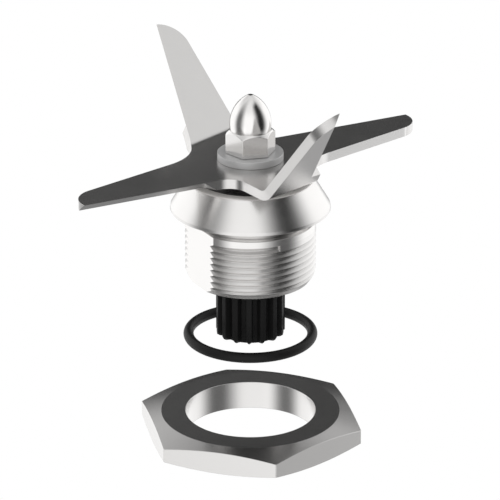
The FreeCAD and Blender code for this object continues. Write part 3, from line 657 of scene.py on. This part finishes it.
def arm_patches(lead_curve, trail_curve, leading, run_out, bend, rows_at, turned):
    """Upper face, underside and both walls of an arm, ruled between its two side curves.

    A row runs straight from the leading curve to the foot of the bevel and from there straight to
    the trailing curve, at the same share of the way out. The feet of the rows beside the bevel's
    run-out are drawn to its inner corner. The first row's upper edge comes along for the hub's rim.
    """
    lead = along_curve(lead_curve, rows_at)
    trail = along_curve(trail_curve, rows_at)
    inward = leading.distance - trail @ leading.normal
    knee = np.clip(BEVEL_WIDTH / np.maximum(inward, 1e-6), 0, 1)
    foot = lead + (trail - lead) * knee[:, None]
    reach = lead @ leading.along
    on_edge, foot_back, inside_back = run_out
    if reach[0] < on_edge - foot_back and reach[-1] > on_edge:
        marks = [reach[0], on_edge - foot_back, on_edge, on_edge + RUN_OUT_EASE]
        foot_reach = np.interp(marks, reach, foot @ leading.along)
        drawn = np.array([0, 1, 1, 0]) * (on_edge - inside_back - foot_reach)
        foot = foot + np.interp(reach, marks, drawn)[:, None] * leading.along
    to_foot, to_trail = np.linspace(0, 1, 13)[:, None], np.linspace(0, 1, 25)[1:, None]
    flat = np.concatenate([lead[:, None] + (foot - lead)[:, None] * to_foot,
                           foot[:, None] + (trail - foot)[:, None] * to_trail], axis=1)
    depth = bevel_depth(flat, leading, run_out)
    patches = [fold(flat, 0 * depth, bend), fold(flat, depth, bend)]
    for column in (0, -1):
        wall = np.repeat(flat[None, :, column], 3, axis=0)
        patches.append(fold(wall, np.linspace(0, 1, 3)[:, None] * depth[None, :, column], bend))
    return [turned_grid(patch, turned) for patch in patches], turned_grid(patches[0][0], turned)


def arm_shares(lead_curve, leading, run_out):
    """Shares of the way out along an arm, with rows at both ends of the bevel's run-out."""
    reach = lead_curve @ leading.along
    on_edge, foot_back, _ = run_out
    marks = [reach[0], on_edge - foot_back, on_edge, on_edge + RUN_OUT_EASE,
             reach[0] + 0.9 * (reach[-1] - reach[0]), reach[-1]]
    stretches = [np.linspace(*ends, count + 1)[:-1]
                 for *ends, count in zip(marks, marks[1:], ARM_ROWS)]
    return (np.concatenate(stretches + [[reach[-1]]]) - reach[0]) / (reach[-1] - reach[0])


def share_of(lead):
    """Shares of the way along a side curve at which its own points lie."""
    steps = np.linalg.norm(np.diff(lead, axis=0), axis=1)
    return np.concatenate([[0], np.cumsum(steps)]) / steps.sum()


def turned_grid(grid, azimuth):
    """Points turned about the axis."""
    cosine, sine = math.cos(math.radians(azimuth)), math.sin(math.radians(azimuth))
    return grid @ np.array([[cosine, sine, 0], [-sine, cosine, 0], [0, 0, 1.0]])


def side_from(curve, facing, distance):
    """The part of a side's curve that lies past a line across the arm, starting on the line."""
    past = curve @ facing - distance
    first = int(np.argmax(past > 0))
    share = -past[first - 1] / (past[first] - past[first - 1])
    start = curve[first - 1] + (curve[first] - curve[first - 1]) * share
    return np.vstack([start, curve[first:]])


def bend_rows(bend):
    """Distances of the rows ruled parallel to a bend: a little before it, over it and just past it."""
    distance, setback = bend[1], setback_of(bend)
    low, high = distance - setback, distance + setback
    return np.concatenate([np.linspace(low - BEND_MARGIN, low, 4)[:-1], np.linspace(low, high, 15),
                           np.linspace(high, distance + BEND_RULED, 12)[1:]])


def flat_rim(curve, turned):
    """A stretch of the hub's rim on the upper plane."""
    return turned_grid(fold(curve, 0 * curve[:, 0], None), turned)


def make_blade():
    """The stamping: four ruled arms, two of them folded, and a hub spread from the hole to its rim.

    A bent arm is ruled parallel to its bend line over the bend, and from there out to its tip. The
    rim runs anticlockwise: bent arm's chord, wide blend, flat arm's chord, tight blend, and the
    straight stretch to the other bent arm.
    """
    bent_lead, bent_trail = Side(BENT_LEADING, True), Side(BENT_TRAILING, False)
    flat_lead, flat_trail = Side(FLAT_LEADING, True), Side(FLAT_TRAILING, False)
    wide = root_blend(bent_lead, flat_trail, WIDE_ROOT_R)
    tight = root_blend(Side(FLAT_LEADING, True, 180), bent_trail, TIGHT_ROOT_R, 30)
    next_tight = root_blend(flat_lead, Side(BENT_TRAILING, False, 180), TIGHT_ROOT_R, 30)
    bent_tip = tip_arc(bent_lead, bent_trail, *BENT_TIP)
    flat_tip = tip_arc(flat_lead, flat_trail, *FLAT_TIP)
    straight = np.linspace(0, 1, 200)[:, None]
    near_arm = wide[::-1][int(len(wide) * 0.4):-1]
    bent_leading = np.vstack([near_arm, wide[0] + (bent_tip[-1] - wide[0]) * straight])
    bent_trailing = np.vstack([tight[-1] + (bent_tip[0] - tight[-1]) * straight, bent_tip[1:]])
    flat_leading = next_tight[0] + (flat_tip[-1] - next_tight[0]) * straight
    flat_trailing = np.vstack([wide[-1] + (flat_tip[0] - wide[-1]) * straight, flat_tip[1:]])
    down = UP * -BLADE_THICKNESS

    patches, rim = [], []
    for bend, next_bend, half_turn in ((BACK_BEND, FRONT_BEND, 0), (FRONT_BEND, BACK_BEND, 180)):
        facing, next_facing = unit(bend[0])[:2], unit(next_bend[0])[:2]
        rows = bend_rows(bend)
        over_lead = np.array([side_from(bent_leading, facing, row)[0] for row in rows])
        over_trail = np.array([side_from(bent_trailing, facing, row)[0] for row in rows])
        out_lead = side_from(bent_leading, facing, rows[-1])
        out_trail = side_from(bent_trailing, facing, rows[-1])
        over, bent_chord = arm_patches(over_lead, over_trail, bent_lead, BENT_RUN_OUT, bend,
                                       share_of(over_lead), half_turn)
        out, _ = arm_patches(out_lead, out_trail, bent_lead, BENT_RUN_OUT, bend,
                             arm_shares(out_lead, bent_lead, BENT_RUN_OUT), half_turn)
        flat, flat_chord = arm_patches(flat_leading, flat_trailing, flat_lead, FLAT_RUN_OUT, None,
                                       arm_shares(flat_leading, flat_lead, FLAT_RUN_OUT), half_turn)
        past_bend = wide[np.argmax(wide @ facing < rows[0]):]
        wide_rim = flat_rim(np.vstack([over_lead[0], past_bend]), half_turn)
        tight_rim = flat_rim(next_tight, half_turn)
        stop = side_from(bent_trailing, next_facing, bend_rows(next_bend)[0])[0]
        link = flat_rim(tight[-1] + (stop - tight[-1]) * np.linspace(0, 1, 12)[:, None], half_turn + 180)
        walls = [np.stack([wall, wall + down / 2, wall + down]) for wall in (wide_rim, tight_rim, link)]
        patches += over + out + flat + walls
        rim += [bent_chord[::-1], wide_rim, flat_chord[::-1], tight_rim, link]
    loop = np.concatenate([rim[0][:1]] + [stretch[1:] for stretch in rim])
    hole = unit_ring(np.degrees(np.arctan2(loop[:, 1], loop[:, 0]))) * HUB_HOLE_R + UP * BLADE_TOP
    upper = hole + (loop - hole) * np.linspace(0, 1, 16)[:, None, None]
    patches += [upper, upper + down, np.stack([hole, hole + down])]
    return piece("blade_ground", patches, sharp_angle=24)


# finishes: relief in millimetres, and the shares and places of painted shade and painted highlight
GRAIN_DEPTH = 0.0015
MOULD_DEPTH = 0.01
CORNER_UNSHADED = 0.75
LEDGE_PAINTED_SHADE = 0.1
LEDGE_SHADE_HEIGHTS = (-2.86, -2.82, -2.78, -2.7)
FLANGE_EDGE_PAINTED_SHADE = 0.1
THREAD_PAINTED_SHADE = 0.05
ROOT_PAINTED_SHADE = 0.16
ROOT_SHADE_RADII = (13.6, 13.66, 13.75, 14.15)
BEVEL_PAINTED_SHADE = 0.6
BEVEL_PAINTED_SHADE_REACH = (14.0, 34.0)
TRAILING_HIGHLIGHT_REACH = (12.0, 14.6)


class Value:
    """Shader socket that takes part in arithmetic: each operation adds one Math node."""

    def __init__(self, finish, socket):
        self.finish, self.socket = finish, socket

    def _math(self, operation, *values):
        """Result of a Math node."""
        return self.finish.node("ShaderNodeMath", {"operation": operation}, dict(enumerate(values)))

    def __add__(self, other):
        return self._math("ADD", self, other)

    def __sub__(self, other):
        return self._math("SUBTRACT", self, other)

    def __rsub__(self, other):
        return self._math("SUBTRACT", other, self)

    def __mul__(self, other):
        return self._math("MULTIPLY", self, other)

    def __truediv__(self, other):
        return self._math("DIVIDE", self, other)

    def __pow__(self, other):
        return self._math("POWER", self, other)

    __radd__ = __add__
    __rmul__ = __mul__

    def absolute(self):
        """Size without sign."""
        return self._math("ABSOLUTE", self)

    def arccosine(self):
        """Angle in radians that has this cosine."""
        return self._math("ARCCOSINE", self)


class Finish:
    """One material's nodes, or the world's, built on a tree."""

    def __init__(self, tree):
        self.tree = tree
        tree.nodes.clear()

    def node(self, kind, settings, inputs, output=0):
        """Adds a node: its settings first, then the values or links of its sockets."""
        made = self.tree.nodes.new(kind)
        for name, value in settings.items():
            setattr(made, name, value)
        for name, value in inputs.items():
            socket = made.inputs[name]
            if isinstance(value, Value):
                self.tree.links.new(value.socket, socket)
            else:
                socket.default_value = value
        if len(made.outputs) == 0:
            return None
        return Value(self, made.outputs[output])

    def place(self):
        """Object coordinates in millimetres."""
        place = self.node("ShaderNodeTexCoord", {}, {}, "Object")
        return self.node("ShaderNodeVectorMath", {"operation": "SCALE"}, {0: place, "Scale": 1 / MM})

    def parts(self, vector):
        """The three components of a vector."""
        split = self.node("ShaderNodeSeparateXYZ", {}, {0: vector})
        return [Value(self, split.socket.node.outputs[i]) for i in range(3)]

    def joined(self, x, y, z):
        """A vector from three components."""
        return self.node("ShaderNodeCombineXYZ", {}, {0: x, 1: y, 2: z})

    def noise(self, vector, scale, detail=2.0, roughness=0.5):
        """Noise from 0 to 1."""
        return self.node("ShaderNodeTexNoise", {},
                         {"Vector": vector, "Scale": scale, "Detail": detail, "Roughness": roughness})

    def colour(self, factor, first, second):
        """Mix of two colours."""
        return self.node("ShaderNodeMix", {"data_type": "RGBA"},
                         {0: factor, 6: first, 7: second}, 2)


def new_material(name):
    """Empty node material and its builder."""
    made = bpy.data.materials.new(name)
    made.use_nodes = True
    return made, Finish(made.node_tree)


def close_material(finish, sockets):
    """Principled surface with the given sockets, joined to the output."""
    surface = finish.node("ShaderNodeBsdfPrincipled", {}, sockets)
    finish.node("ShaderNodeOutputMaterial", {}, {"Surface": surface})


def grey(level, tint=0.0):
    """Linear grey with a slight warm tint."""
    return (level * (1 + tint), level, level * (1 - tint), 1)


# dark grey that the painted shade on the housing and the blade mixes towards
PAINTED_SHADE_GREY = grey(0.02)


def ramped(finish, value, start, end):
    """0 before start, 1 after end, a smooth step between."""
    return finish.node("ShaderNodeMapRange", {"interpolation_type": "SMOOTHSTEP"},
                       {"Value": value, "From Min": start, "From Max": end, "To Min": 0.0, "To Max": 1.0})


def banded(finish, value, start, full, full_end, end):
    """1 from full to its end, with a smooth step down to 0 on both sides."""
    return ramped(finish, value, start, full) * ramped(finish, value, end, full_end)


def steel(name, level, roughness, grain, painted_light=None, metallic=1.0, tint=0.014):
    """Steel whose tooling marks follow a direction given by the grain function of the place.

    An optional function paints shade, a glow and highlights into the sockets by place.
    """
    made, finish = new_material(name)
    place = finish.place()
    lines = finish.noise(grain(finish, place), 1.0, 1.0, 0.5)
    cloud = finish.noise(place, 0.22, 3.0, 0.55)
    shade = finish.colour(cloud, grey(level * 0.965, tint), grey(level * 1.03, tint))
    shade = finish.colour(lines * 0.5, shade, grey(level * 0.96, tint))
    rough = roughness * (0.88 + 0.18 * cloud + 0.06 * lines)
    bump = finish.node("ShaderNodeBump", {},
                       {"Strength": 0.02, "Distance": GRAIN_DEPTH * MM, "Height": lines})
    sockets = {"Base Color": shade, "Metallic": metallic, "Roughness": rough, "Normal": bump}
    # painted shade, glow and highlights, where a function for them is given
    if painted_light:
        painted_light(finish, place, sockets)
    close_material(finish, sockets)
    return made


def housing_painted_light(finish, place, sockets):
    """Painted shade in the O-ring groove's corner, on its ledge and in the thread, and a matt rim painted
    lighter with a faint glow.

    The flange's edge gets a little painted shade too, and the thread's painted shade is darkest
    at its root. The milled flats have no thread, so they get none.
    """
    x, y, z = finish.parts(place)
    radius = (x * x + y * y) ** 0.5
    # painted shade: darker in the O-ring groove's corner, on its ledge and at the flange's edge
    corner = ((radius - GROOVE_R) ** 2.0 + (z + GROOVE_DEPTH) ** 2.0) ** 0.5
    unshaded = CORNER_UNSHADED + (1 - CORNER_UNSHADED) * ramped(finish, corner, 0.05, 0.3)
    unshaded = unshaded * (1.0 - LEDGE_PAINTED_SHADE * banded(finish, z, *LEDGE_SHADE_HEIGHTS))
    edge = ramped(finish, radius, CONE_FOOT[0] - 0.14, CONE_FOOT[0] - 0.04)
    edge = edge * ramped(finish, z, CONE_FOOT[1] + 0.03, CONE_FOOT[1] - 0.09)
    unshaded = unshaded * (1.0 - FLANGE_EDGE_PAINTED_SHADE * edge)
    # painted shade over the thread, darkest at its root, and none on the milled flats
    flat = unit(FLAT_AZIMUTHS[0])
    off_axis = (x * float(flat[0]) + y * float(flat[1])).absolute()
    threaded = 1.0 - ramped(finish, off_axis, FLAT_DISTANCE - 0.1, FLAT_DISTANCE - 0.02)
    threaded = threaded * ramped(finish, z, THREAD_START_Z + 0.01, THREAD_START_Z - 0.09)
    root = banded(finish, radius, *ROOT_SHADE_RADII)
    unshaded = unshaded * (1.0 - (THREAD_PAINTED_SHADE + ROOT_PAINTED_SHADE * root) * threaded)
    shade = finish.colour(unshaded, PAINTED_SHADE_GREY, sockets["Base Color"])
    # painted light: the rim made a light matt grey with a faint painted glow
    rim = ramped(finish, z, RIM_TOP - 0.25, RIM_TOP - 0.1)
    sockets["Base Color"] = finish.colour(rim, shade, grey(0.75, 0.03))
    sockets["Metallic"] = 1.0 - rim
    sockets["Roughness"] = sockets["Roughness"] + 0.25 * rim
    sockets["Emission Color"] = finish.colour(rim, grey(0.0), grey(0.05, 0.03))
    sockets["Emission Strength"] = 1.0


def blade_painted_light(finish, place, sockets):
    """Painted shade on the flat arms' bevels, deepening outwards, and painted highlight on their trailing
    sides.
    """
    x, y, z = finish.parts(place)
    lead_reach, inside_lead = from_side(x, y, FLAT_LEADING, -90)
    trail_reach, inside_trail = from_side(x, y, FLAT_TRAILING, 90)
    # painted shade on the ground bevels, growing towards the tips
    bevel_shade = ramped(finish, lead_reach, *BEVEL_PAINTED_SHADE_REACH)
    bevel_shade = bevel_shade * ramped(finish, inside_lead, BEVEL_WIDTH + 0.1, BEVEL_WIDTH)
    bevel_shade = bevel_shade * ramped(finish, z, BLADE_TOP - 0.02, BLADE_TOP - 0.06)
    # painted highlight: the trailing sides made near white past the hub
    cut = ramped(finish, inside_trail, 0.05, 0.02) * ramped(finish, trail_reach, *TRAILING_HIGHLIGHT_REACH)
    shade = finish.colour(bevel_shade * BEVEL_PAINTED_SHADE, sockets["Base Color"], PAINTED_SHADE_GREY)
    sockets["Base Color"] = finish.colour(cut, shade, grey(0.95, 0.01))


def from_side(x, y, line, quarter):
    """Way out along a side that both flat arms have, and the distance in from it."""
    facing, outwards = unit(line[0]), unit(line[0] + quarter)
    across = x * float(facing[0]) + y * float(facing[1])
    along = x * float(outwards[0]) + y * float(outwards[1])
    reach = along.absolute()
    return reach, line[1] - across * along / (reach + 0.001)


def turned_grain(finish, place):
    """Marks of a lathe: fine in radius and height, unchanging round the axis."""
    x, y, z = finish.parts(place)
    return finish.joined((x * x + y * y) ** 0.5 * 5, 0.0, z * 5)


def brushed_grain(finish, place):
    """Fine marks along the sheet."""
    x, y, z = finish.parts(place)
    return finish.joined(x * 0.4, y * 2.6, z * 2.6)


def moulded(name, size, dark, light, roughness, spread, specular=0.5, relief=0.0):
    """Moulded material: mottled between two colours and two roughnesses, with a slight relief."""
    made, finish = new_material(name)
    mottle = finish.noise(finish.place(), size, 3.0, 0.6)
    sockets = {"Base Color": finish.colour(mottle, dark, light), "Roughness": roughness + spread * mottle,
               "Specular IOR Level": specular}
    if relief:
        sockets["Normal"] = finish.node("ShaderNodeBump", {}, {
            "Strength": relief, "Distance": MOULD_DEPTH * MM, "Height": mottle})
    close_material(finish, sockets)
    return made


def make_finishes():
    """Every material by its use."""
    return {
        "blade": steel("blade_steel", 0.62, 0.26, brushed_grain, blade_painted_light),
        "housing": steel("housing_steel", 0.74, 0.26, turned_grain, housing_painted_light),
        "nut": steel("nut_steel", 0.68, 0.24, turned_grain),
        "polished": steel("polished_steel", 0.74, 0.17, turned_grain),
        "washer": steel("washer_steel", 0.54, 0.5, turned_grain, metallic=0.5, tint=0.0),
        "shaft": steel("shaft_steel", 0.55, 0.3, turned_grain),
        "hidden": steel("bearing_steel", 0.6, 0.25, turned_grain),
        "plastic": moulded("black_plastic", 1.6, grey(0.010), grey(0.014), 0.44, 0.12, 0.09, relief=0.3),
        "rubber": moulded("black_rubber", 2.4, grey(0.006), grey(0.010), 0.42, 0.12, 0.18, relief=0.25),
        # painted light: the seal's rubber is several times lighter than the black rubber, standing in for
        # light in the shaded gap under the hub
        "seal": moulded("seal_rubber_painted_lighter", 2.4, grey(0.055, 0.02), grey(0.075, 0.02), 0.42, 0.12, relief=0.25),
        "nylon": moulded("cage_nylon", 1.5, (0.55, 0.48, 0.34, 1), (0.62, 0.55, 0.4, 1), 0.45, 0.1),
    }


def dress():
    """Builds every piece and gives the CAD nodes that stay their materials."""
    finishes = make_finishes()
    # what makes a piece, its body, the node that it replaces, its slot and its finish
    plan = [
        (make_housing, "housing", "bearing_housing", "housing_steel", "housing"),
        (make_seal_lip, "housing", "shaft_seal_lip", "black_rubber", "seal"),
        (make_sleeve, "rotor", "blade_seat_sleeve", "shaft_steel", "shaft"),
        (make_blade, "rotor", "blade", "blade_steel", "blade"),
        (make_washer, "rotor", "blade_washer", "polished_steel", "washer"),
        (make_acorn, "rotor", "acorn_nut", "polished_steel", "polished"),
        (make_spline, "rotor", "drive_spline", "black_plastic", "plastic"),
        (make_o_ring, "seal_ring", "o_ring", "black_rubber", "rubber"),
        (make_retaining_nut, "clamp_nut", "retaining_nut", "nut_steel", "nut"),
    ]
    done = set()
    for make, body, node, slot, finish in plan:
        settle(make(), body, node, finishes[finish])
        done.add(node)
    for name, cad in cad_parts.items():
        if name in done:
            continue
        finish = "nylon" if name.endswith("cage") else "hidden"
        cad.data.materials.clear()
        cad.data.materials.append(finishes[finish])


# floor, in metres
FLOOR_HALF = 2.0
FLOOR_GAP = 0.0002


def make_floor():
    """Plain white floor, seen by the camera and by matt surfaces; polished ones see the studio."""
    height = NUT_LOW[2] * MM - FLOOR_GAP
    mesh = bpy.data.meshes.new("floor")
    corners = [(x * FLOOR_HALF, y * FLOOR_HALF, height) for x, y in ((-1, -1), (1, -1), (1, 1), (-1, 1))]
    mesh.from_pydata(corners, [], [(0, 1, 2, 3)])
    floor = bpy.data.objects.new("floor", mesh)
    bpy.context.scene.collection.objects.link(floor)
    made, finish = new_material("floor_white")
    behind = finish.node("ShaderNodeNewGeometry", {}, {}, "Backfacing")
    light = finish.node("ShaderNodeEmission", {}, {"Color": (1, 1, 1, 1), "Strength": 1.0})
    clear = finish.node("ShaderNodeBsdfTransparent", {}, {})
    surface = finish.node("ShaderNodeMixShader", {}, {0: behind, 1: light, 2: clear})
    finish.node("ShaderNodeOutputMaterial", {}, {"Surface": surface})
    mesh.materials.append(made)
    floor.visible_glossy = False


# studio light: a white room, with dark panels where the product's faces show dark. A panel has the
# azimuth of its middle, half widths where it is full and where it ends, depth (below 0 for a bright
# patch), and heights on a unit sphere: its start, where it is full from and up to, its end
PANELS = (
    (90.0, 8.0, 28.0, 0.936, (-0.36, -0.17, 0.87, 0.97)),
    (-30.0, 8.0, 50.0, 0.985, (-0.9, -0.3, 0.8, 0.97)),
    (-156.0, 5.0, 38.0, 0.86, (-0.75, -0.5, 0.3, 1.2)),
    (38.0, 8.0, 24.0, -0.17, (0.52, 0.62, 0.75, 0.85)),
    (90.0, 6.0, 34.0, 0.5, (-0.75, -0.6, -0.36, -0.17)),
    (88.0, 8.0, 20.0, 0.55, (-0.36, -0.22, 0.1, 0.24)),
    (-128.0, 4.0, 16.0, -0.14, (-0.6, -0.5, -0.25, -0.1)),
    (78.0, 9.5, 13.5, 0.48, (0.24, 0.32, 0.46, 0.54)),
)
ROOM_LIGHT = 1.34
UNDER_SHADE = 0.58
UNDER_HEIGHTS = (-0.45, -0.62)
OVER_SHADE = 0.3
OVER_SHADE_BACK = 0.19
OVER_HEIGHTS = (0.3, 0.75)


def make_studio():
    """World light by direction: white, less the panels, the shade below and a softer one above."""
    world = bpy.data.worlds.new("studio")
    bpy.context.scene.world = world
    world.use_nodes = True
    finish = Finish(world.node_tree)
    way = finish.node("ShaderNodeTexCoord", {}, {}, "Generated")
    x, y, z = finish.parts(way)
    level = (x * x + y * y + 1e-6) ** 0.5
    white = 1.0 - UNDER_SHADE * ramped(finish, z, *UNDER_HEIGHTS)
    white = white * (1.0 - ramped(finish, z, *OVER_HEIGHTS) * (OVER_SHADE + OVER_SHADE_BACK * y))
    for azimuth, full, end, depth, heights in PANELS:
        towards = unit(azimuth)
        turned = ((x * float(towards[0]) + y * float(towards[1])) / level).arccosine()
        across = ramped(finish, turned, math.radians(end), math.radians(full))
        white = white * (1.0 - depth * across * banded(finish, z, *heights))
    light = finish.node("ShaderNodeBackground", {},
                        {"Color": (1, 1, 1, 1), "Strength": white * ROOM_LIGHT})
    seen = finish.node("ShaderNodeBackground", {}, {"Color": (1, 1, 1, 1), "Strength": 1.0})
    ray = finish.node("ShaderNodeLightPath", {}, {}, "Is Camera Ray")
    surface = finish.node("ShaderNodeMixShader", {}, {0: ray, 1: light, 2: seen})
    finish.node("ShaderNodeOutputWorld", {}, {"Surface": surface})


# camera, as found from the photograph's 500 by 500 frame
FOCAL_PIXELS = 3377.446
FRAME_PIXELS = 500
SENSOR = 36.0
LOOK_DOWN = 22.257
LOOK_AT_Z = -10.386
LOOK_DISTANCE = 736.39
CENTRE_SHIFT_PIXELS = 0.43


def make_camera():
    """Camera at the photograph's angle, distance and field of view."""
    data = bpy.data.cameras.new("camera")
    camera = bpy.data.objects.new("camera", data)
    bpy.context.scene.collection.objects.link(camera)
    down = math.radians(LOOK_DOWN)
    camera.location = Vector((0, -LOOK_DISTANCE * math.cos(down),
                              LOOK_AT_Z + LOOK_DISTANCE * math.sin(down))) * MM
    camera.rotation_euler = (math.pi / 2 - down, 0, 0)
    data.sensor_width = SENSOR
    data.lens = FOCAL_PIXELS * SENSOR / FRAME_PIXELS
    data.shift_x = -CENTRE_SHIFT_PIXELS / FRAME_PIXELS
    data.clip_start, data.clip_end = 0.01, 20
    bpy.context.scene.camera = camera


dress()
make_floor()
make_studio()
make_camera()
bpy.context.scene.view_settings.view_transform = "Standard"
